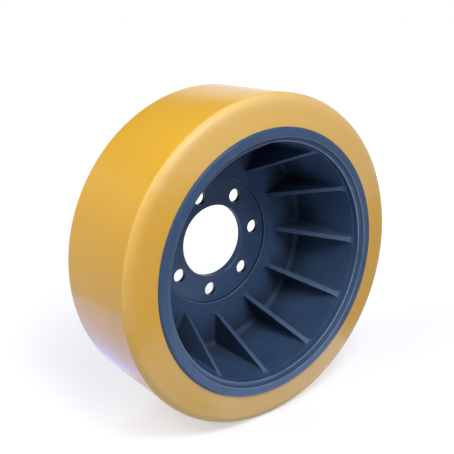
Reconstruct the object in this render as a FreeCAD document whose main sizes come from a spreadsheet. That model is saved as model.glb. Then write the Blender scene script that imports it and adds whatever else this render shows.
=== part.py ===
import FreeCAD, Part
import math
import os

import Sketcher

# Industrial drive wheel: a ribbed iron casting with a polyurethane tread moulded round its rim.
# The wheel spins about Y, +Z is up, the open dish looks towards -Y and the origin is the wheel's centre.
# All sizes are millimetres and degrees.

SIZES = [
    ("wheel_diameter", 343, "outside of the tread"),
    ("tread_width", 114, "moulded tread at its outside, measured to the sharp corners"),
    ("tread_thickness", 32, "polyurethane between running surface and rim"),
    ("shoulder_radius", 10, "round on the moulded tread, between its sides and its outside"),
    ("turning_stock", 0.6, "turned off the moulded tread, which leaves an edge along each shoulder"),
    ("rim_overhang", 6, "ring face beyond the moulded tread's corner, on each side"),
    ("rim_edge_round", 2.5, "round on the rim's outer edges, which stands proud of the tread"),
    ("ring_width", 9.5, "front ring face, from the rim to the counterbore"),
    ("ring_edge_round", 0.8, "round on the inner edges of both ring faces"),
    ("ledge_depth", 4, "front ring face to the ledge"),
    ("ledge_draft", 1.7, "taper of the counterbore from mouth to ledge"),
    ("ledge_width", 3.6, "ledge, from the counterbore to the turned bore behind it"),
    ("ledge_fillet", 1, "inside corner between counterbore and ledge"),
    ("ledge_edge_round", 1.5, "round between the ledge and the turned bore"),
    ("cast_step", 0.4, "step in from the turned bore to the cast walls between the ribs"),
    ("disc_thickness", 12.5, "disc outside its turned seat"),
    ("bore_diameter", 82, "pilot bore"),
    ("bore_chamfer", 1.2, "lead-in at both ends of the pilot bore"),
    ("bolt_offset", 15, "wall of the pilot bore to the bolt circle"),
    ("bolt_count", 7, "number of wheel bolts"),
    ("bolt_hole", 15.5, "clearance hole of a wheel bolt"),
    ("bolt_seat", 24.5, "wide end of a bolt hole's conical seat"),
    ("bolt_seat_angle", 90, "included angle of that seat"),
    ("bolt_phase", 58.6, "angle of one bolt hole, from +X towards +Z"),
    ("seat_margin", 15, "bolt circle to the edge of the turned flange seat"),
    ("seat_depth", 2.5, "depth of the flange seat in the disc"),
    ("seat_chamfer", 0.6, "broken edge of the flange seat"),
    ("rib_count", 12, "number of ribs"),
    ("rib_thickness", 5, "thickness of a rib"),
    ("rib_gap", 13, "edge of the flange seat to the feet of the ribs"),
    ("rib_setback", 7, "ledge to the outer ends of the ribs"),
    ("rib_fillet", 3.6, "fillet along both sides of a rib"),
    ("corner_fillet", 6, "fillet between disc and drum"),
    ("back_ring_width", 10.5, "back ring face, from the rim to the back recess"),
    ("back_recess_depth", 11.5, "back ring face to the back of the disc"),
    ("back_draft", 2.5, "taper of the back recess from mouth to floor"),
    ("back_fillet", 5, "fillet round the floor of the back recess"),
]

# Places along the axle, from the open front to the bolted back.
BACK_Y = "(Sizes.tread_width / 2 + Sizes.rim_overhang)"
FRONT_Y = f"(-{BACK_Y})"
TREAD_CORNER_Y = "(Sizes.tread_width / 2)"
TREAD_EDGE_Y = f"({BACK_Y} - Sizes.rim_edge_round)"
LEDGE_Y = f"({FRONT_Y} + Sizes.ledge_depth)"
RIB_END_Y = f"({LEDGE_Y} + Sizes.rib_setback)"
DISC_BACK_Y = f"({BACK_Y} - Sizes.back_recess_depth)"
DISC_Y = f"({DISC_BACK_Y} - Sizes.disc_thickness)"
SEAT_Y = f"({DISC_Y} + Sizes.seat_depth)"

# Radii from the tread inwards to the drum.
TREAD_R = "(Sizes.wheel_diameter / 2)"
MOULD_R = f"({TREAD_R} + Sizes.turning_stock)"
SWARF_R = f"({MOULD_R} + Sizes.turning_stock)"
RIM_R = f"({TREAD_R} - Sizes.tread_thickness)"
RING_INNER_R = f"({RIM_R} - Sizes.ring_width)"
LEDGE_OUTER_R = f"({RING_INNER_R} - Sizes.ledge_draft)"
DRUM_R = f"({LEDGE_OUTER_R} - Sizes.ledge_width)"
POCKET_R = f"({DRUM_R} - Sizes.cast_step)"
BACK_MOUTH_R = f"({RIM_R} - Sizes.back_ring_width)"
BACK_FLOOR_R = f"({BACK_MOUTH_R} - Sizes.back_draft)"

# Radii from the pilot bore outwards to the ribs.
BORE_R = "(Sizes.bore_diameter / 2)"
BORE_MOUTH_R = f"({BORE_R} + Sizes.bore_chamfer)"
BOLT_CIRCLE_R = f"({BORE_R} + Sizes.bolt_offset)"
SEAT_R = f"({BOLT_CIRCLE_R} + Sizes.seat_margin)"
RIB_FOOT_R = f"({SEAT_R} + Sizes.rib_gap)"

# A pocket spans the angle between two ribs, and its sides run parallel to the ribs' middle planes.
RIB_COUNT = "round(Sizes.rib_count)"
BOLT_COUNT = "round(Sizes.bolt_count)"
POCKET_HALF_ANGLE = f"(180 / {RIB_COUNT})"
POCKET_LENGTH = f"({DISC_Y} - {FRONT_Y})"
HALF_RIB = "(Sizes.rib_thickness / 2)"
TOLERANCE = 0.001


def make_sheet(doc):
    """Driving sizes, one row each: its name, its value and what it measures."""
    sheet = doc.addObject("Spreadsheet::Sheet", "Sizes")
    for row, (alias, value, meaning) in enumerate(SIZES, start=1):
        sheet.set(f"A{row}", alias)
        sheet.set(f"B{row}", str(value))
        sheet.set(f"C{row}", meaning)
        sheet.setAlias(f"B{row}", alias)
    doc.recompute()


def value(doc, expression):
    """Present value of an expression over the driving sizes."""
    return float(doc.Sizes.evalExpression(expression))


def origin_feature(body, role):
    """One of the body's own planes or axes."""
    return next(item for item in body.Origin.OriginFeatures if item.Role == role)


def make_body(doc, name):
    body = doc.addObject("PartDesign::Body", name)
    body.Label = name
    body.Placement = FreeCAD.Placement()
    return body


def make_sketch(body, name, role, offset="0", turn="0"):
    """Sketch on one of the body's planes, moved along that plane's normal and turned about it."""
    sketch = body.newObject("Sketcher::SketchObject", name)
    sketch.AttachmentSupport = [(origin_feature(body, role), "")]
    sketch.MapMode = "FlatFace"
    sketch.setExpression("AttachmentOffset.Base.z", offset)
    sketch.setExpression("AttachmentOffset.Rotation.Angle", turn)
    return sketch


def drive(sketch, constraint, expression):
    """Adds a constraint whose size follows an expression."""
    index = sketch.addConstraint(constraint)
    sketch.setExpression(f"Constraints[{index}]", expression)


def draw_outline(doc, sketch, corners):
    """Closed outline of straight lines through corners given as pairs of expressions."""
    places = [FreeCAD.Vector(value(doc, x), value(doc, y), 0) for x, y in corners]
    count = len(corners)
    for i in range(count):
        sketch.addGeometry(Part.LineSegment(places[i], places[(i + 1) % count]))
    for i in range(count):
        sketch.addConstraint(Sketcher.Constraint("Coincident", i, 2, (i + 1) % count, 1))
        drive(sketch, Sketcher.Constraint("DistanceX", -1, 1, i, 1, places[i].x), corners[i][0])
        drive(sketch, Sketcher.Constraint("DistanceY", -1, 1, i, 1, places[i].y), corners[i][1])


def revolve(doc, body, name, corners, kind="PartDesign::Revolution"):
    """Adds or cuts a ring about the wheel's axis, from an outline of radius and axial place."""
    sketch = make_sketch(body, name + "_outline", "XY_Plane")
    draw_outline(doc, sketch, corners)
    solid = body.newObject(kind, name)
    solid.Profile = sketch
    solid.ReferenceAxis = (sketch, ["V_Axis"])
    solid.Angle = 360
    doc.recompute()
    return solid


def circle_edges(doc, feature, radius, y):
    """Names of the circular edges with that radius round the wheel's axis, at that axial place."""
    wanted_radius = value(doc, radius)
    wanted_y = value(doc, y)
    names = []
    for number, edge in enumerate(feature.Shape.Edges, start=1):
        if not isinstance(edge.Curve, Part.Circle):
            continue
        same_radius = abs(edge.Curve.Radius - wanted_radius) < TOLERANCE
        if same_radius and abs(edge.Curve.Center.y - wanted_y) < TOLERANCE:
            names.append(f"Edge{number}")
    return names


def round_edges(doc, body, name, base, edges, radius):
    """Round or fillet on named edges of the body's last feature."""
    fillet = body.newObject("PartDesign::Fillet", name)
    fillet.Base = (base, edges)
    fillet.setExpression("Radius", radius)
    doc.recompute()
    return fillet


def round_circle(doc, body, name, base, radius, y, fillet_radius):
    edges = circle_edges(doc, base, radius, y)
    return round_edges(doc, body, name, base, edges, fillet_radius)


def build_blank(doc, body):
    """Turned form of the casting: rim, ledge, disc and the cone in which the ribs' front edges lie."""
    corners = [
        (BORE_R, f"{SEAT_Y} + Sizes.bore_chamfer"),
        (BORE_MOUTH_R, SEAT_Y),
        (SEAT_R, SEAT_Y),
        (SEAT_R, f"{DISC_Y} + Sizes.seat_chamfer"),
        (f"{SEAT_R} + Sizes.seat_chamfer", DISC_Y),
        (RIB_FOOT_R, DISC_Y),
        (DRUM_R, RIB_END_Y),
        (DRUM_R, LEDGE_Y),
        (LEDGE_OUTER_R, LEDGE_Y),
        (RING_INNER_R, FRONT_Y),
        (RIM_R, FRONT_Y),
        (RIM_R, BACK_Y),
        (BACK_MOUTH_R, BACK_Y),
        (BACK_FLOOR_R, DISC_BACK_Y),
        (BORE_MOUTH_R, DISC_BACK_Y),
        (BORE_R, f"{DISC_BACK_Y} - Sizes.bore_chamfer"),
    ]
    solid = revolve(doc, body, "blank", corners)
    rim_edges = circle_edges(doc, solid, RIM_R, FRONT_Y) + circle_edges(doc, solid, RIM_R, BACK_Y)
    solid = round_edges(doc, body, "rim_rounds", solid, rim_edges, "Sizes.rim_edge_round")
    ring_edges = circle_edges(doc, solid, RING_INNER_R, FRONT_Y)
    ring_edges += circle_edges(doc, solid, BACK_MOUTH_R, BACK_Y)
    solid = round_edges(doc, body, "ring_rounds", solid, ring_edges, "Sizes.ring_edge_round")
    solid = round_circle(doc, body, "ledge_round", solid, DRUM_R, LEDGE_Y, "Sizes.ledge_edge_round")
    solid = round_circle(doc, body, "ledge_corner", solid, LEDGE_OUTER_R, LEDGE_Y, "Sizes.ledge_fillet")
    return round_circle(doc, body, "back_corner", solid, BACK_FLOOR_R, DISC_BACK_Y, "Sizes.back_fillet")


def pocket_corner(radius):
    """Where a pocket's side reaches a radius: expressions of its distance along and across the pocket."""
    along_rib = f"sqrt({radius} * {radius} - {HALF_RIB} * {HALF_RIB})"
    along = f"({along_rib} * cos({POCKET_HALF_ANGLE}) + {HALF_RIB} * sin({POCKET_HALF_ANGLE}))"
    across = f"({along_rib} * sin({POCKET_HALF_ANGLE}) - {HALF_RIB} * cos({POCKET_HALF_ANGLE}))"
    return along, across


def draw_pocket(doc, sketch):
    """Sector between two ribs, with its middle on the sketch's X axis."""
    inner_along, inner_across = pocket_corner(BOLT_CIRCLE_R)
    outer_along, outer_across = pocket_corner(POCKET_R)
    inner_x = value(doc, inner_along)
    inner_y = value(doc, inner_across)
    outer_x = value(doc, outer_along)
    outer_y = value(doc, outer_across)
    radius = value(doc, POCKET_R)
    angle = math.atan2(outer_y, outer_x)
    centre = FreeCAD.Vector(0, 0, 0)
    low_inner = FreeCAD.Vector(inner_x, -inner_y, 0)
    low_outer = FreeCAD.Vector(outer_x, -outer_y, 0)
    high_inner = FreeCAD.Vector(inner_x, inner_y, 0)
    high_outer = FreeCAD.Vector(outer_x, outer_y, 0)
    wall_circle = Part.Circle(centre, FreeCAD.Vector(0, 0, 1), radius)
    low_side = sketch.addGeometry(Part.LineSegment(low_inner, low_outer))
    wall = sketch.addGeometry(Part.ArcOfCircle(wall_circle, -angle, angle))
    high_side = sketch.addGeometry(Part.LineSegment(high_outer, high_inner))
    mouth = sketch.addGeometry(Part.LineSegment(high_inner, low_inner))
    sketch.addConstraint(Sketcher.Constraint("Coincident", wall, 3, -1, 1))
    sketch.addConstraint(Sketcher.Constraint("Coincident", low_side, 2, wall, 1))
    sketch.addConstraint(Sketcher.Constraint("Coincident", wall, 2, high_side, 1))
    sketch.addConstraint(Sketcher.Constraint("Coincident", high_side, 2, mouth, 1))
    sketch.addConstraint(Sketcher.Constraint("Coincident", mouth, 2, low_side, 1))
    drive(sketch, Sketcher.Constraint("Radius", wall, radius), POCKET_R)
    drive(sketch, Sketcher.Constraint("DistanceY", -1, 1, wall, 1, -outer_y), f"-{outer_across}")
    drive(sketch, Sketcher.Constraint("DistanceY", -1, 1, wall, 2, outer_y), outer_across)
    drive(sketch, Sketcher.Constraint("DistanceX", -1, 1, low_side, 1, inner_x), inner_along)
    drive(sketch, Sketcher.Constraint("DistanceY", -1, 1, low_side, 1, -inner_y), f"-{inner_across}")
    drive(sketch, Sketcher.Constraint("DistanceX", -1, 1, mouth, 1, inner_x), inner_along)
    drive(sketch, Sketcher.Constraint("DistanceY", -1, 1, mouth, 1, inner_y), inner_across)


def wall_edges(doc, feature):
    """Names of the edges that run along the wheel's axis where a pocket's sides meet its wall."""
    radius = value(doc, POCKET_R)
    names = []
    for number, edge in enumerate(feature.Shape.Edges, start=1):
        ends = [vertex.Point for vertex in edge.Vertexes]
        if len(ends) != 2:
            continue
        on_wall = all(abs(math.hypot(end.x, end.z) - radius) < TOLERANCE for end in ends)
        if on_wall and abs(ends[0].x - ends[1].x) < TOLERANCE and abs(ends[0].z - ends[1].z) < TOLERANCE:
            names.append(f"Edge{number}")
    return names


def build_pockets(doc):
    """The spaces between the ribs, as one pocket with its fillets, repeated round the axis."""
    body = make_body(doc, "pockets")
    sketch = make_sketch(body, "pocket_outline", "XZ_Plane", f"-{DISC_Y}", POCKET_HALF_ANGLE)
    draw_pocket(doc, sketch)
    pad = body.newObject("PartDesign::Pad", "pocket")
    pad.Profile = sketch
    pad.setExpression("Length", POCKET_LENGTH)
    doc.recompute()
    corner = round_circle(doc, body, "pocket_corner", pad, POCKET_R, DISC_Y, "Sizes.corner_fillet")
    round_edges(doc, body, "rib_feet", corner, wall_edges(doc, corner), "Sizes.rib_fillet")
    ring = body.newObject("PartDesign::PolarPattern", "pocket_ring")
    ring.TransformMode = "Whole shape"
    ring.Axis = (origin_feature(body, "Y_Axis"), [""])
    ring.Angle = 360
    ring.setExpression("Occurrences", RIB_COUNT)
    body.Tip = ring
    doc.recompute()
    return body


def cut_pockets(doc, body, pockets):
    """Takes the pockets out of the turned form, which leaves the ribs standing."""
    cut = body.newObject("PartDesign::Boolean", "ribs")
    cut.setObjects([pockets])
    cut.Type = "Cut"
    doc.recompute()
    return cut


def drill_bolt_holes(doc, body):
    """One bolt hole with its conical seat in the back of the disc, repeated round the bolt circle."""
    sketch = make_sketch(body, "bolt_hole_outline", "XZ_Plane", f"-{DISC_BACK_Y}")
    centre_x = f"({BOLT_CIRCLE_R} * cos(Sizes.bolt_phase))"
    centre_z = f"({BOLT_CIRCLE_R} * sin(Sizes.bolt_phase))"
    centre = FreeCAD.Vector(value(doc, centre_x), value(doc, centre_z), 0)
    radius = value(doc, "Sizes.bolt_hole / 2")
    circle = sketch.addGeometry(Part.Circle(centre, FreeCAD.Vector(0, 0, 1), radius))
    drive(sketch, Sketcher.Constraint("Radius", circle, radius), "Sizes.bolt_hole / 2")
    drive(sketch, Sketcher.Constraint("DistanceX", -1, 1, circle, 3, centre.x), centre_x)
    drive(sketch, Sketcher.Constraint("DistanceY", -1, 1, circle, 3, centre.y), centre_z)
    doc.recompute()
    hole = body.newObject("PartDesign::Hole", "bolt_hole")
    hole.Profile = sketch
    hole.Reversed = True
    hole.DepthType = "ThroughAll"
    hole.HoleCutType = "Countersink"
    hole.HoleCutCustomValues = True
    hole.setExpression("Diameter", "Sizes.bolt_hole")
    hole.setExpression("HoleCutCountersinkAngle", "Sizes.bolt_seat_angle")
    hole.setExpression("HoleCutDiameter", "Sizes.bolt_seat")
    doc.recompute()
    ring = body.newObject("PartDesign::PolarPattern", "bolt_holes")
    ring.Originals = [hole]
    ring.Axis = (origin_feature(body, "Y_Axis"), [""])
    ring.Angle = 360
    ring.setExpression("Occurrences", BOLT_COUNT)
    body.Tip = ring
    doc.recompute()
    return ring


def build_wheel_body(doc):
    """The iron casting, with its turned seats and drilled holes."""
    body = make_body(doc, "wheel_body")
    build_blank(doc, body)
    cut_pockets(doc, body, build_pockets(doc))
    drill_bolt_holes(doc, body)
    return body


def build_tread(doc):
    """The polyurethane tread: sides that spread towards the rim it is bonded to, and a turned outside."""
    body = make_body(doc, "tread")
    corners = [
        (RIM_R, f"-{TREAD_EDGE_Y}"),
        (MOULD_R, f"-{TREAD_CORNER_Y}"),
        (MOULD_R, TREAD_CORNER_Y),
        (RIM_R, TREAD_EDGE_Y),
    ]
    solid = revolve(doc, body, "tread_ring", corners)
    shoulders = circle_edges(doc, solid, MOULD_R, f"-{TREAD_CORNER_Y}")
    shoulders += circle_edges(doc, solid, MOULD_R, TREAD_CORNER_Y)
    round_edges(doc, body, "shoulders", solid, shoulders, "Sizes.shoulder_radius")
    turned_off = [
        (TREAD_R, f"-{TREAD_CORNER_Y}"),
        (SWARF_R, f"-{TREAD_CORNER_Y}"),
        (SWARF_R, TREAD_CORNER_Y),
        (TREAD_R, TREAD_CORNER_Y),
    ]
    revolve(doc, body, "running_surface", turned_off, "PartDesign::Groove")
    return body


def check(doc, bodies):
    """Stops before anything is written if a feature failed or a solid isn't sound."""
    for item in doc.Objects:
        if "Invalid" in item.State or "Error" in item.State:
            raise RuntimeError(f"{item.Name} failed: {item.State}")
    for body in bodies:
        shape = body.Shape
        if shape.isNull() or not shape.isValid() or len(shape.Solids) != 1:
            raise RuntimeError(f"{body.Label} isn't one sound solid")


def main():
    doc = FreeCAD.newDocument("drive_wheel")
    make_sheet(doc)
    bodies = [build_wheel_body(doc), build_tread(doc)]
    doc.recompute()
    check(doc, bodies)
    os.makedirs("parts", exist_ok=True)
    for body in bodies:
        body.Shape.exportStep(f"parts/{body.Label}.step")


main()
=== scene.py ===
import math

import bpy
from mathutils import Matrix, Vector


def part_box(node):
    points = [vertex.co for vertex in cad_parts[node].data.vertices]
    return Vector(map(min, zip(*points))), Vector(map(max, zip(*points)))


# Industrial drive wheel in a plain studio: a painted, ribbed iron casting with a polyurethane tread.
# Lengths are metres. The wheel spins about Y, +Z is up and the open dish looks towards -Y.

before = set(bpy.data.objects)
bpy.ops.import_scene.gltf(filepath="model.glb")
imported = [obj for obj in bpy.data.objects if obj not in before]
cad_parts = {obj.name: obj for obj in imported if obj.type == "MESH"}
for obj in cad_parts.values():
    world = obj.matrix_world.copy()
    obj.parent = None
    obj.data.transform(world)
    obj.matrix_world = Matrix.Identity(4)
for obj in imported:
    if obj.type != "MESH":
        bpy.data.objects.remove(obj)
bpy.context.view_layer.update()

# The picture is square. Angles and shifts of the camera follow the photograph.
IMAGE_PIXELS = 454
FOCAL_PIXELS = 699.95
SENSOR = 36.0
CAMERA_AZIMUTH = math.radians(-37.99)
CAMERA_ELEVATION = math.radians(16.73)
CAMERA_DISTANCE = 0.74941
CAMERA_SIDE = -0.01137
CAMERA_RISE = 0.02519
CAMERA_NEAREST = 0.01

# The floor glows a little for rays that see it directly, more where the lamps no longer reach.
FLOOR_SIZE = 60.0
FLOOR_COLOUR = (0.58, 0.59, 0.66, 1.0)
FLOOR_ROUGHNESS = 0.9
GLOW_COLOUR = (0.96, 0.97, 1.0, 1.0)
GLOW_NEAR = 0.53
GLOW_FAR = 1.0
GLOW_REACH = 1.6

# The sky fills shadows evenly. Seen directly, it is white up to a height and dim above that.
SKY_COLOUR = (1.0, 1.0, 1.0, 1.0)
WORLD_FILL = 0.08
HORIZON_LEVEL = 1.0
HORIZON_TOP = 0.32
CEILING_START = 0.50

# Sheets of light lie just above the floor.
SHEET_RISE = 0.001
LEFT_SHEET_TURN = math.radians(-26.0)

# Areas of the tread, each by the place where it begins and the place where it is full: moulded sides by their
# distance from the middle, rounded shoulders by radius, and the front side by place along the axle.
SIDE_AREA = (0.0508, 0.0535)
SHOULDER_AREA = (0.1560, 0.1660)
FRONT_AREA = (-0.050, -0.056)

# Painted dark reflection: on the front side, in ragged streaks around one angle and the angle opposite it,
# the colour is a deeper orange, as where the side reflects dark surroundings and shows no pale haze.
DARK_REFLECTION_ANGLE = math.radians(169.0)
DARK_REFLECTION_WAVES_PER_RADIAN = 16.0
DARK_REFLECTION_WAVES_PER_METRE = 26.0
DARK_REFLECTION_RAGGEDNESS = 0.34
NOISE_MIDDLE = 0.5

# The tread's colours and finish, and the depths of its turning marks and of its broad unevenness.
RUNNING_DEEP = (0.725, 0.400, 0.038, 1.0)
RUNNING_PALE = (0.755, 0.425, 0.046, 1.0)
MOULDED_DEEP = (0.765, 0.470, 0.130, 1.0)
MOULDED_PALE = (0.780, 0.495, 0.155, 1.0)
# Deeper orange of the painted dark reflection on the front side.
DARK_REFLECTION_COLOUR = (0.755, 0.405, 0.042, 1.0)
# Cream of the painted highlight along the shoulder.
SHOULDER_HIGHLIGHT_COLOUR = (0.775, 0.530, 0.205, 1.0)
DIRT_COLOUR = (0.20, 0.11, 0.04, 1.0)
SPECK_COLOUR = (0.93, 0.80, 0.48, 1.0)
TREAD_SPECULAR = 0.18
SIDE_ROUGHER = 0.18
TURNING_STRETCH = (0.02, 1.0, 0.02)
TURNING_DEPTH = 0.00002
UNEVEN_DEPTH = 0.0005

# Radii and places along the axle of the casting that its paint follows.
SEAT_EDGE = 0.0714
SEAT_WALL = 0.0710
SEAT_FLOOR = 0.0415
HOLES_INNER = 0.0440
TURNED_BORE = 0.1245
DISC_BACK = 0.0515
EDGE_WIDTH = 0.0006

# Areas of the casting, each by the place where it begins and the place where it is full.
# Rough cast skin lies outside the flange seat and on the back of the disc, and ends at the turned bore.
SKIN_OUTSIDE_SEAT = (SEAT_EDGE, SEAT_EDGE + 0.0004)
SKIN_ON_BACK = (DISC_BACK - 0.0040, DISC_BACK - 0.0020)
SKIN_INSIDE_BORE = (TURNED_BORE + 0.0001, TURNED_BORE - 0.0001)

# The painted shade in the inside corner of the flange seat, by distance from the wall and by place along the
# axle.
SEAT_SHADE_BY_WALL = (0.0005, 0.0002)
SEAT_SHADE_ON_FLOOR = (SEAT_FLOOR + 0.0010, SEAT_FLOOR + 0.0005)

# The drilled walls of the bolt holes, which carry painted shade, between the disc's two faces and between
# pilot bore and seat wall.
DRILLED_BEHIND_SEAT = (SEAT_FLOOR + 0.0001, SEAT_FLOOR + 0.0006)
DRILLED_BEFORE_BACK = (DISC_BACK - 0.0001, DISC_BACK - 0.0006)
DRILLED_OUTSIDE_PILOT = (HOLES_INNER - 0.0010, HOLES_INNER)
DRILLED_INSIDE_SEAT = (SEAT_WALL - 0.0005, SEAT_WALL - 0.0010)

# The ribs' slanting fronts: their normals lean towards -Y between two limits. They start above the disc, end
# inside the drum's wall, and are painted lighter towards the mouth of the dish: partly worn paint, partly a
# painted highlight of the light that reaches their outer ends.
RIB_LEAN_LEAST = (-0.25, -0.33)
RIB_LEAN_MOST = (-0.60, -0.50)
RIB_ABOVE_DISC = (0.033, 0.029)
RIB_INSIDE_WALL = (0.1238, 0.1230)
RIB_LIGHT_TOWARDS_MOUTH = (0.02, -0.055)

# Turned edges with worn paint, by radius, place along the axle and how far the wear reaches.
RING_EDGE = (0.1297, -0.0627, 0.0010)
LEDGE_EDGE = (0.1253, -0.0584, 0.0010)
SEAT_RIM = (0.0717, 0.0390, 0.0006)

# The casting's paint colours and finish, how far its painted corner shade reaches, and the heights of grain
# and pits.
PAINT_DEEP = (0.040, 0.081, 0.165, 1.0)
PAINT_PALE = (0.048, 0.093, 0.188, 1.0)
THIN_PAINT = (0.150, 0.205, 0.310, 1.0)
WORN_PAINT = (0.230, 0.300, 0.425, 1.0)
# Painted highlight colour of the rib fronts, partly worn paint.
RIB_FRONT_LIGHT_PAINT = (0.140, 0.197, 0.318, 1.0)
# Near black of the painted shade in deep corners.
CORNER_SHADE_PAINT = (0.020, 0.019, 0.020, 1.0)
# Dark line of painted shade in the seat's inside corner.
SEAT_SHADE_COLOUR = (0.010, 0.013, 0.020, 1.0)
# Dark of the painted shade on the bolt holes' walls.
HOLE_SHADE_COLOUR = (0.012, 0.014, 0.020, 1.0)
PIT_COLOUR = (0.008, 0.012, 0.022, 1.0)
CHIP_COLOUR = (0.42, 0.45, 0.50, 1.0)
PAINT_SPECULAR = 0.18
CAST_ROUGHER = 0.25
CORNER_SHADE_REACH = 0.06
GRAIN_HEIGHT = 0.5
PIT_DEPTH = 1.5
CAST_DEPTH = 0.0004

# Share of a spot's radius, or of a worn edge's reach, that is fully covered.
FULL_CORE = 0.4


class Nodes:
    """Adds nodes to one material and links them. Most methods give back an output socket."""

    def __init__(self, name):
        self.material = bpy.data.materials.new(name)
        self.material.use_nodes = True
        self.tree = self.material.node_tree
        self.shader = self.tree.nodes["Principled BSDF"]
        coordinates = self.add("ShaderNodeTexCoord")
        self.place = coordinates.outputs["Object"]
        self.facing = coordinates.outputs["Normal"]
        axes = self.add("ShaderNodeSeparateXYZ", {0: self.place})
        self.along = axes.outputs[1]
        flat = self.add("ShaderNodeCombineXYZ", {0: axes.outputs[0], 2: axes.outputs[2]}).outputs[0]
        self.radius = self.length(flat)
        self.angle = self.math("ARCTAN2", axes.outputs[2], axes.outputs[0])

    def feed(self, socket, item):
        """Links an output to a socket, or gives the socket a plain value."""
        if isinstance(item, bpy.types.NodeSocket):
            self.tree.links.new(item, socket)
        else:
            socket.default_value = item

    def add(self, kind, inputs=None, **settings):
        """Adds a node and gives back the node itself."""
        node = self.tree.nodes.new(kind)
        for key, item in settings.items():
            setattr(node, key, item)
        for key, item in (inputs or {}).items():
            self.feed(node.inputs[key], item)
        return node

    def math(self, operation, first, second=0.0):
        return self.add("ShaderNodeMath", {0: first, 1: second}, operation=operation).outputs[0]

    def plus(self, first, second):
        return self.math("ADD", first, second)

    def minus(self, first, second):
        return self.math("SUBTRACT", first, second)

    def times(self, first, *others):
        for item in others:
            first = self.math("MULTIPLY", first, item)
        return first

    def larger(self, first, second):
        return self.math("MAXIMUM", first, second)

    def absolute(self, item):
        return self.math("ABSOLUTE", item)

    def vector_math(self, operation, first, second=(0.0, 0.0, 0.0), output="Vector"):
        return self.add("ShaderNodeVectorMath", {0: first, 1: second}, operation=operation).outputs[output]

    def length(self, vector):
        return self.vector_math("LENGTH", vector, output="Value")

    def ramp(self, item, low, high, start=0.0, end=1.0):
        """Goes smoothly from start to end while item goes from low to high."""
        inputs = {0: item, 1: low, 2: high, 3: start, 4: end}
        return self.add("ShaderNodeMapRange", inputs, interpolation_type="SMOOTHSTEP").outputs[0]

    def noise(self, scale, detail, roughness, stretch=(1.0, 1.0, 1.0)):
        place = self.vector_math("MULTIPLY", self.place, stretch)
        inputs = {"Vector": place, "Scale": scale, "Detail": detail, "Roughness": roughness}
        return self.add("ShaderNodeTexNoise", inputs).outputs[0]

    def polar_noise(self, per_radian, per_metre):
        """Noise drawn out along the radius: so many waves in each radian and in each metre outwards."""
        across = self.times(self.angle, per_radian)
        outward = self.times(self.radius, per_metre)
        place = self.add("ShaderNodeCombineXYZ", {0: across, 1: outward, 2: self.along}).outputs[0]
        return self.add("ShaderNodeTexNoise", {"Vector": place, "Scale": 1.0, "Detail": 3.0}).outputs[0]

    def spots(self, scale, share, radius):
        """Round spots in a share of scattered cells, as a factor that is 1 inside a spot."""
        cells = self.add("ShaderNodeTexVoronoi", {"Vector": self.place, "Scale": scale})
        draw = self.add("ShaderNodeSeparateColor", {0: cells.outputs["Color"]}).outputs[0]
        chosen = self.math("LESS_THAN", draw, share)
        reach = radius * scale
        return self.times(chosen, self.ramp(cells.outputs["Distance"], reach, reach * FULL_CORE))

    def mix(self, factor, first, second):
        inputs = {0: factor, 6: first, 7: second}
        return self.add("ShaderNodeMix", inputs, data_type="RGBA").outputs[2]

    def cover(self, base, colour, mask, strength=1.0):
        """Lays a colour over a base where a mask is 1."""
        return self.mix(self.times(mask, strength), base, colour)

    def bump(self, height, distance, normal=None):
        inputs = {"Height": height, "Distance": distance, "Strength": 1.0}
        if normal is not None:
            inputs["Normal"] = normal
        return self.add("ShaderNodeBump", inputs).outputs[0]

    def finish(self, **sockets):
        """Gives values or links to the shader's sockets and hands back the material."""
        for key, item in sockets.items():
            self.feed(self.shader.inputs[key.replace("_", " ")], item)
        return self.material


def painted_dark_reflection(nodes):
    """1 on the front side of the tread in ragged streaks around one angle and the opposite one: the painted
    dark reflection.
    """
    turn = nodes.absolute(nodes.math("COSINE", nodes.minus(nodes.angle, DARK_REFLECTION_ANGLE)))
    streaks = nodes.minus(nodes.polar_noise(DARK_REFLECTION_WAVES_PER_RADIAN, DARK_REFLECTION_WAVES_PER_METRE), NOISE_MIDDLE)
    dark_zone = nodes.plus(turn, nodes.times(streaks, DARK_REFLECTION_RAGGEDNESS))
    return nodes.times(nodes.ramp(dark_zone, low=0.76, high=0.97), nodes.ramp(nodes.along, *FRONT_AREA))


def moulded_side(nodes, broad):
    """Colour of the tread's sides: paler than the running surface, with a painted highlight on the shoulder.
    """
    dark_reflection = painted_dark_reflection(nodes)
    colour = nodes.mix(nodes.ramp(broad, low=0.32, high=0.70), MOULDED_DEEP, MOULDED_PALE)
    # Painted dark reflection: deeper orange streaks on the front side.
    colour = nodes.cover(colour, DARK_REFLECTION_COLOUR, dark_reflection, strength=0.8)
    # Painted highlight: a pale cream band along the rounded shoulder, kept off the painted dark reflection.
    shoulder = nodes.ramp(nodes.radius, *SHOULDER_AREA)
    outside_dark_reflection = nodes.ramp(dark_reflection, low=0.0, high=1.0, start=0.75, end=0.2)
    return nodes.cover(colour, SHOULDER_HIGHLIGHT_COLOUR, nodes.times(shoulder, outside_dark_reflection))


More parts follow.
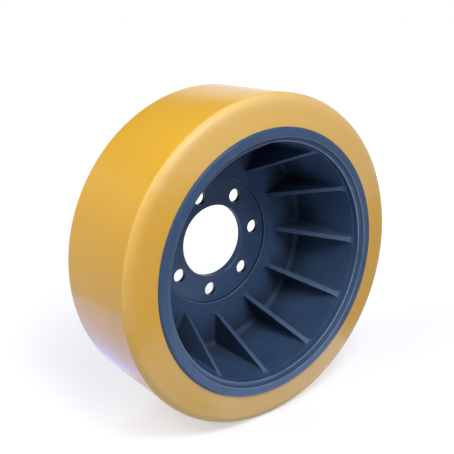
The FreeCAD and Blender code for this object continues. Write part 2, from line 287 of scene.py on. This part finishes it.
def polyurethane():
    """Amber cast polyurethane: turned running surface, paler moulded sides with a painted dark reflection and
    a painted shoulder highlight, and a few specks.
    """
    nodes = Nodes("polyurethane")
    side = nodes.ramp(nodes.absolute(nodes.along), *SIDE_AREA)
    broad = nodes.noise(scale=7.0, detail=2.0, roughness=0.5)
    running = nodes.mix(nodes.ramp(broad, low=0.35, high=0.68), RUNNING_DEEP, RUNNING_PALE)
    colour = nodes.mix(side, running, moulded_side(nodes, broad))
    dirt = nodes.spots(scale=26.0, share=0.05, radius=0.0011)
    colour = nodes.cover(colour, DIRT_COLOUR, dirt, strength=0.6)
    specks = nodes.spots(scale=22.0, share=0.04, radius=0.0012)
    colour = nodes.cover(colour, SPECK_COLOUR, specks, strength=0.5)
    patchy = nodes.noise(scale=60.0, detail=4.0, roughness=0.6)
    smooth = nodes.ramp(patchy, low=0.3, high=0.7, start=0.13, end=0.16)
    roughness = nodes.plus(smooth, nodes.times(side, SIDE_ROUGHER))
    turning = nodes.noise(scale=900.0, detail=2.0, roughness=0.5, stretch=TURNING_STRETCH)
    normal = nodes.bump(broad, UNEVEN_DEPTH, nodes.bump(turning, TURNING_DEPTH))
    return nodes.finish(
        Base_Color=colour, Roughness=roughness, Normal=normal, Specular_IOR_Level=TREAD_SPECULAR)


def cast_skin(nodes):
    """1 on rough cast walls, 0 on the turned flange seat and on what is turned from the bore outwards."""
    outside_seat = nodes.ramp(nodes.radius, *SKIN_OUTSIDE_SEAT)
    on_back = nodes.ramp(nodes.along, *SKIN_ON_BACK)
    inside_bore = nodes.ramp(nodes.radius, *SKIN_INSIDE_BORE)
    return nodes.times(nodes.larger(outside_seat, on_back), inside_bore)


def sharp_edges(nodes, rounded):
    """1 along the casting's sharp edges, where a rounded normal differs from the plain one."""
    plain = nodes.add("ShaderNodeNewGeometry").outputs["Normal"]
    bend = nodes.minus(1.0, nodes.vector_math("DOT_PRODUCT", rounded, plain, output="Value"))
    return nodes.ramp(bend, low=0.02, high=0.20)


def turned_edges(nodes):
    """1 along the turned edges of the mouth of the dish and of the flange seat."""
    total = 0.0
    for radius, along, reach in (RING_EDGE, LEDGE_EDGE, SEAT_RIM):
        outward = nodes.minus(nodes.radius, radius)
        inward = nodes.minus(nodes.along, along)
        offset = nodes.add("ShaderNodeCombineXYZ", {0: outward, 1: inward}).outputs[0]
        total = nodes.larger(total, nodes.ramp(nodes.length(offset), reach, reach * FULL_CORE))
    return total


def rib_fronts(nodes):
    """1 on the slanting front faces of the ribs: they look inwards and a little towards -Y."""
    lean = nodes.add("ShaderNodeSeparateXYZ", {0: nodes.facing}).outputs[1]
    slanting = nodes.times(nodes.ramp(lean, *RIB_LEAN_LEAST), nodes.ramp(lean, *RIB_LEAN_MOST))
    above_disc = nodes.ramp(nodes.along, *RIB_ABOVE_DISC)
    inside_wall = nodes.ramp(nodes.radius, *RIB_INSIDE_WALL)
    return nodes.times(slanting, above_disc, inside_wall)


def painted_corner_shade(nodes):
    """Painted shade: how far a place lies in a deep corner, which is darkened as if in shadow."""
    openness = nodes.add("ShaderNodeAmbientOcclusion", {"Distance": CORNER_SHADE_REACH}, samples=8).outputs["AO"]
    return nodes.ramp(openness, low=0.58, high=0.20, start=0.0, end=0.65)


def painted_seat_shade(nodes):
    """1 in the inside corner of the turned flange seat, where a dark line of shade is painted."""
    by_wall = nodes.ramp(nodes.absolute(nodes.minus(nodes.radius, SEAT_WALL)), *SEAT_SHADE_BY_WALL)
    return nodes.times(by_wall, nodes.ramp(nodes.along, *SEAT_SHADE_ON_FLOOR))


def painted_hole_shade(nodes):
    """1 on the walls of the bolt holes, between the two faces of the disc, where shade is painted dark."""
    behind_seat = nodes.ramp(nodes.along, *DRILLED_BEHIND_SEAT)
    before_back = nodes.ramp(nodes.along, *DRILLED_BEFORE_BACK)
    outside_pilot = nodes.ramp(nodes.radius, *DRILLED_OUTSIDE_PILOT)
    inside_seat = nodes.ramp(nodes.radius, *DRILLED_INSIDE_SEAT)
    return nodes.times(behind_seat, before_back, outside_pilot, inside_seat)


def painted_iron():
    """Blue-grey satin paint: grainy and pitted on cast walls, smooth on turned faces, thin at edges. Painted
    shade darkens deep corners, the seat's corner and the bolt holes; rib fronts carry a painted highlight.
    """
    nodes = Nodes("painted_iron")
    cast = cast_skin(nodes)
    fronts = rib_fronts(nodes)
    rounded = nodes.add("ShaderNodeBevel", {"Radius": EDGE_WIDTH}, samples=6).outputs[0]
    edges = sharp_edges(nodes, rounded)
    grain = nodes.noise(scale=420.0, detail=4.0, roughness=0.6)
    swell = nodes.noise(scale=70.0, detail=3.0, roughness=0.5)
    tone = nodes.noise(scale=24.0, detail=4.0, roughness=0.6)

    paint = nodes.mix(nodes.ramp(tone, low=0.32, high=0.68), PAINT_DEEP, PAINT_PALE)
    thin = nodes.times(edges, nodes.ramp(grain, low=0.35, high=0.65, start=0.35, end=1.0))
    paint = nodes.cover(paint, THIN_PAINT, thin, strength=0.75)
    worn = nodes.times(turned_edges(nodes), nodes.ramp(tone, low=0.30, high=0.60, start=0.35, end=0.75))
    paint = nodes.cover(paint, WORN_PAINT, worn)
    # Painted highlight: rib fronts lighter towards the mouth of the dish, partly worn paint.
    front_light = nodes.ramp(nodes.along, *RIB_LIGHT_TOWARDS_MOUTH, start=0.15, end=0.80)
    paint = nodes.cover(paint, RIB_FRONT_LIGHT_PAINT, fronts, strength=front_light)
    # Painted shade: deep corners of the cast walls darkened towards near black.
    paint = nodes.cover(paint, CORNER_SHADE_PAINT, painted_corner_shade(nodes), strength=cast)
    # Painted shade: a dark line in the seat's inside corner.
    paint = nodes.cover(paint, SEAT_SHADE_COLOUR, painted_seat_shade(nodes), strength=0.8)
    # Painted shade: the bolt holes' walls darkened.
    paint = nodes.cover(paint, HOLE_SHADE_COLOUR, painted_hole_shade(nodes), strength=0.85)

    pits = nodes.times(nodes.spots(scale=130.0, share=0.16, radius=0.0012), cast)
    pocks = nodes.times(nodes.spots(scale=210.0, share=0.30, radius=0.0010), fronts)
    pits = nodes.larger(pits, pocks)
    paint = nodes.cover(paint, PIT_COLOUR, pits, strength=0.7)
    chips = nodes.times(nodes.spots(scale=75.0, share=0.10, radius=0.0014), edges)
    paint = nodes.cover(paint, CHIP_COLOUR, chips)

    satin = nodes.ramp(grain, low=0.3, high=0.7, start=0.28, end=0.36)
    roughness = nodes.plus(satin, nodes.times(nodes.minus(cast, fronts), CAST_ROUGHER))
    skin = nodes.times(nodes.plus(nodes.times(grain, GRAIN_HEIGHT), swell), cast)
    normal = nodes.bump(nodes.minus(skin, nodes.times(pits, PIT_DEPTH)), CAST_DEPTH, rounded)
    return nodes.finish(
        Base_Color=paint, Roughness=roughness, Normal=normal, Specular_IOR_Level=PAINT_SPECULAR)


def seen_directly(tree):
    """1 for rays that show a surface or the sky itself: from the camera, a gloss or through glass."""
    path = tree.nodes.new("ShaderNodeLightPath")
    total = path.outputs["Is Camera Ray"]
    for name in ("Is Glossy Ray", "Is Transmission Ray"):
        join = tree.nodes.new("ShaderNodeMath")
        join.operation = "MAXIMUM"
        tree.links.new(total, join.inputs[0])
        tree.links.new(path.outputs[name], join.inputs[1])
        total = join.outputs[0]
    return total


def build_floor():
    """Wide pale floor under the wheel."""
    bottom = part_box("tread")[0].z
    half = FLOOR_SIZE / 2
    mesh = bpy.data.meshes.new("floor")
    corners = [(-half, -half, bottom), (half, -half, bottom), (half, half, bottom), (-half, half, bottom)]
    mesh.from_pydata(corners, [], [(0, 1, 2, 3)])
    floor = bpy.data.objects.new("floor", mesh)
    bpy.context.scene.collection.objects.link(floor)
    nodes = Nodes("studio_floor")
    level = nodes.ramp(nodes.length(nodes.place), 0.0, GLOW_REACH, GLOW_NEAR, GLOW_FAR)
    glow = nodes.times(seen_directly(nodes.tree), level)
    mesh.materials.append(nodes.finish(
        Base_Color=FLOOR_COLOUR, Roughness=FLOOR_ROUGHNESS,
        Emission_Color=GLOW_COLOUR, Emission_Strength=glow))


def build_world():
    """Dim even fill; a white horizon, under a dim ceiling, for rays that see it directly."""
    world = bpy.data.worlds.new("studio")
    world.use_nodes = True
    tree = world.node_tree
    sky = tree.nodes["Background"]
    sky.inputs["Color"].default_value = SKY_COLOUR
    direction = tree.nodes.new("ShaderNodeTexCoord")
    axes = tree.nodes.new("ShaderNodeSeparateXYZ")
    tree.links.new(direction.outputs["Generated"], axes.inputs[0])
    horizon = tree.nodes.new("ShaderNodeMapRange")
    horizon.interpolation_type = "SMOOTHSTEP"
    tree.links.new(axes.outputs[2], horizon.inputs[0])
    for socket, item in ((1, HORIZON_TOP), (2, CEILING_START), (3, HORIZON_LEVEL), (4, WORLD_FILL)):
        horizon.inputs[socket].default_value = item
    level = tree.nodes.new("ShaderNodeMapRange")
    tree.links.new(seen_directly(tree), level.inputs[0])
    level.inputs[3].default_value = WORLD_FILL
    tree.links.new(horizon.outputs[0], level.inputs[4])
    tree.links.new(level.outputs[0], sky.inputs["Strength"])
    bpy.context.scene.world = world


def build_light(name, place, size, power, in_gloss=True):
    """Square soft box that faces the wheel's middle, with or without a highlight of its own."""
    lamp = bpy.data.lights.new(name, "AREA")
    lamp.shape = "SQUARE"
    lamp.size = size
    lamp.energy = power
    item = bpy.data.objects.new(name, lamp)
    item.location = place
    item.rotation_euler = (-Vector(place)).to_track_quat("-Z", "Y").to_euler()
    item.visible_glossy = in_gloss
    bpy.context.scene.collection.objects.link(item)


def build_sheet(name, low, high, colour, level, turn=0.0):
    """Bright sheet on the floor beside the wheel, which shows in the wheel's gloss only."""
    lamp = bpy.data.lights.new(name, "AREA")
    lamp.shape = "RECTANGLE"
    lamp.size = high[0] - low[0]
    lamp.size_y = high[1] - low[1]
    lamp.color = colour
    lamp.energy = level * math.pi * lamp.size * lamp.size_y
    item = bpy.data.objects.new(name, lamp)
    item.location = ((low[0] + high[0]) / 2, (low[1] + high[1]) / 2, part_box("tread")[0].z + SHEET_RISE)
    item.rotation_euler = (math.pi, 0.0, turn)
    item.visible_camera = False
    item.visible_diffuse = False
    bpy.context.scene.collection.objects.link(item)


def build_camera():
    """Camera at the photograph's angle, distance and shift."""
    level = math.cos(CAMERA_ELEVATION)
    back = Vector((
        math.sin(CAMERA_AZIMUTH) * level, -math.cos(CAMERA_AZIMUTH) * level, math.sin(CAMERA_ELEVATION)))
    right = Vector((math.cos(CAMERA_AZIMUTH), math.sin(CAMERA_AZIMUTH), 0.0))
    up = back.cross(right)
    lens = bpy.data.cameras.new("camera")
    lens.sensor_fit = "HORIZONTAL"
    lens.sensor_width = SENSOR
    lens.lens = FOCAL_PIXELS / IMAGE_PIXELS * SENSOR
    lens.clip_start = CAMERA_NEAREST
    camera = bpy.data.objects.new("camera", lens)
    turn = Matrix((right, up, back)).transposed().to_4x4()
    place = back * CAMERA_DISTANCE + right * CAMERA_SIDE + up * CAMERA_RISE
    camera.matrix_world = Matrix.Translation(place) @ turn
    bpy.context.scene.collection.objects.link(camera)
    bpy.context.scene.camera = camera


def repaint(node, material):
    """Gives a CAD node a new material in every slot it has."""
    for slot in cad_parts[node].material_slots:
        slot.material = material


bpy.context.scene.view_settings.view_transform = "Standard"
build_camera()
build_world()
build_floor()
build_light("front_box", place=(-0.08, -0.64, 0.84), size=0.4, power=5.2)
build_light("front_left_box", place=(-0.35, -0.62, 0.80), size=0.4, power=3.2)
build_light("left_box", place=(-0.81, 0.0, 0.69), size=0.5, power=3.3)
build_light("left_back_box", place=(-0.85, 0.30, 0.60), size=0.5, power=2.0)
build_light("low_box", place=(0.0, -1.0, 0.15), size=0.4, power=0.15)
build_light("right_box", place=(0.65, -0.82, 0.32), size=0.5, power=0.30)
build_light("back_box", place=(0.90, 0.75, 0.28), size=0.6, power=5.5, in_gloss=False)
build_sheet("front_sheet", low=(-0.05, -0.30), high=(0.20, -0.065), colour=(0.52, 0.66, 1.0), level=3.6)
build_sheet("left_sheet", low=(-0.31, -0.06), high=(-0.07, 0.45), colour=(0.08, 0.20, 1.0), level=0.95,
            turn=LEFT_SHEET_TURN)
repaint("wheel_body", painted_iron())
repaint("tread", polyurethane())
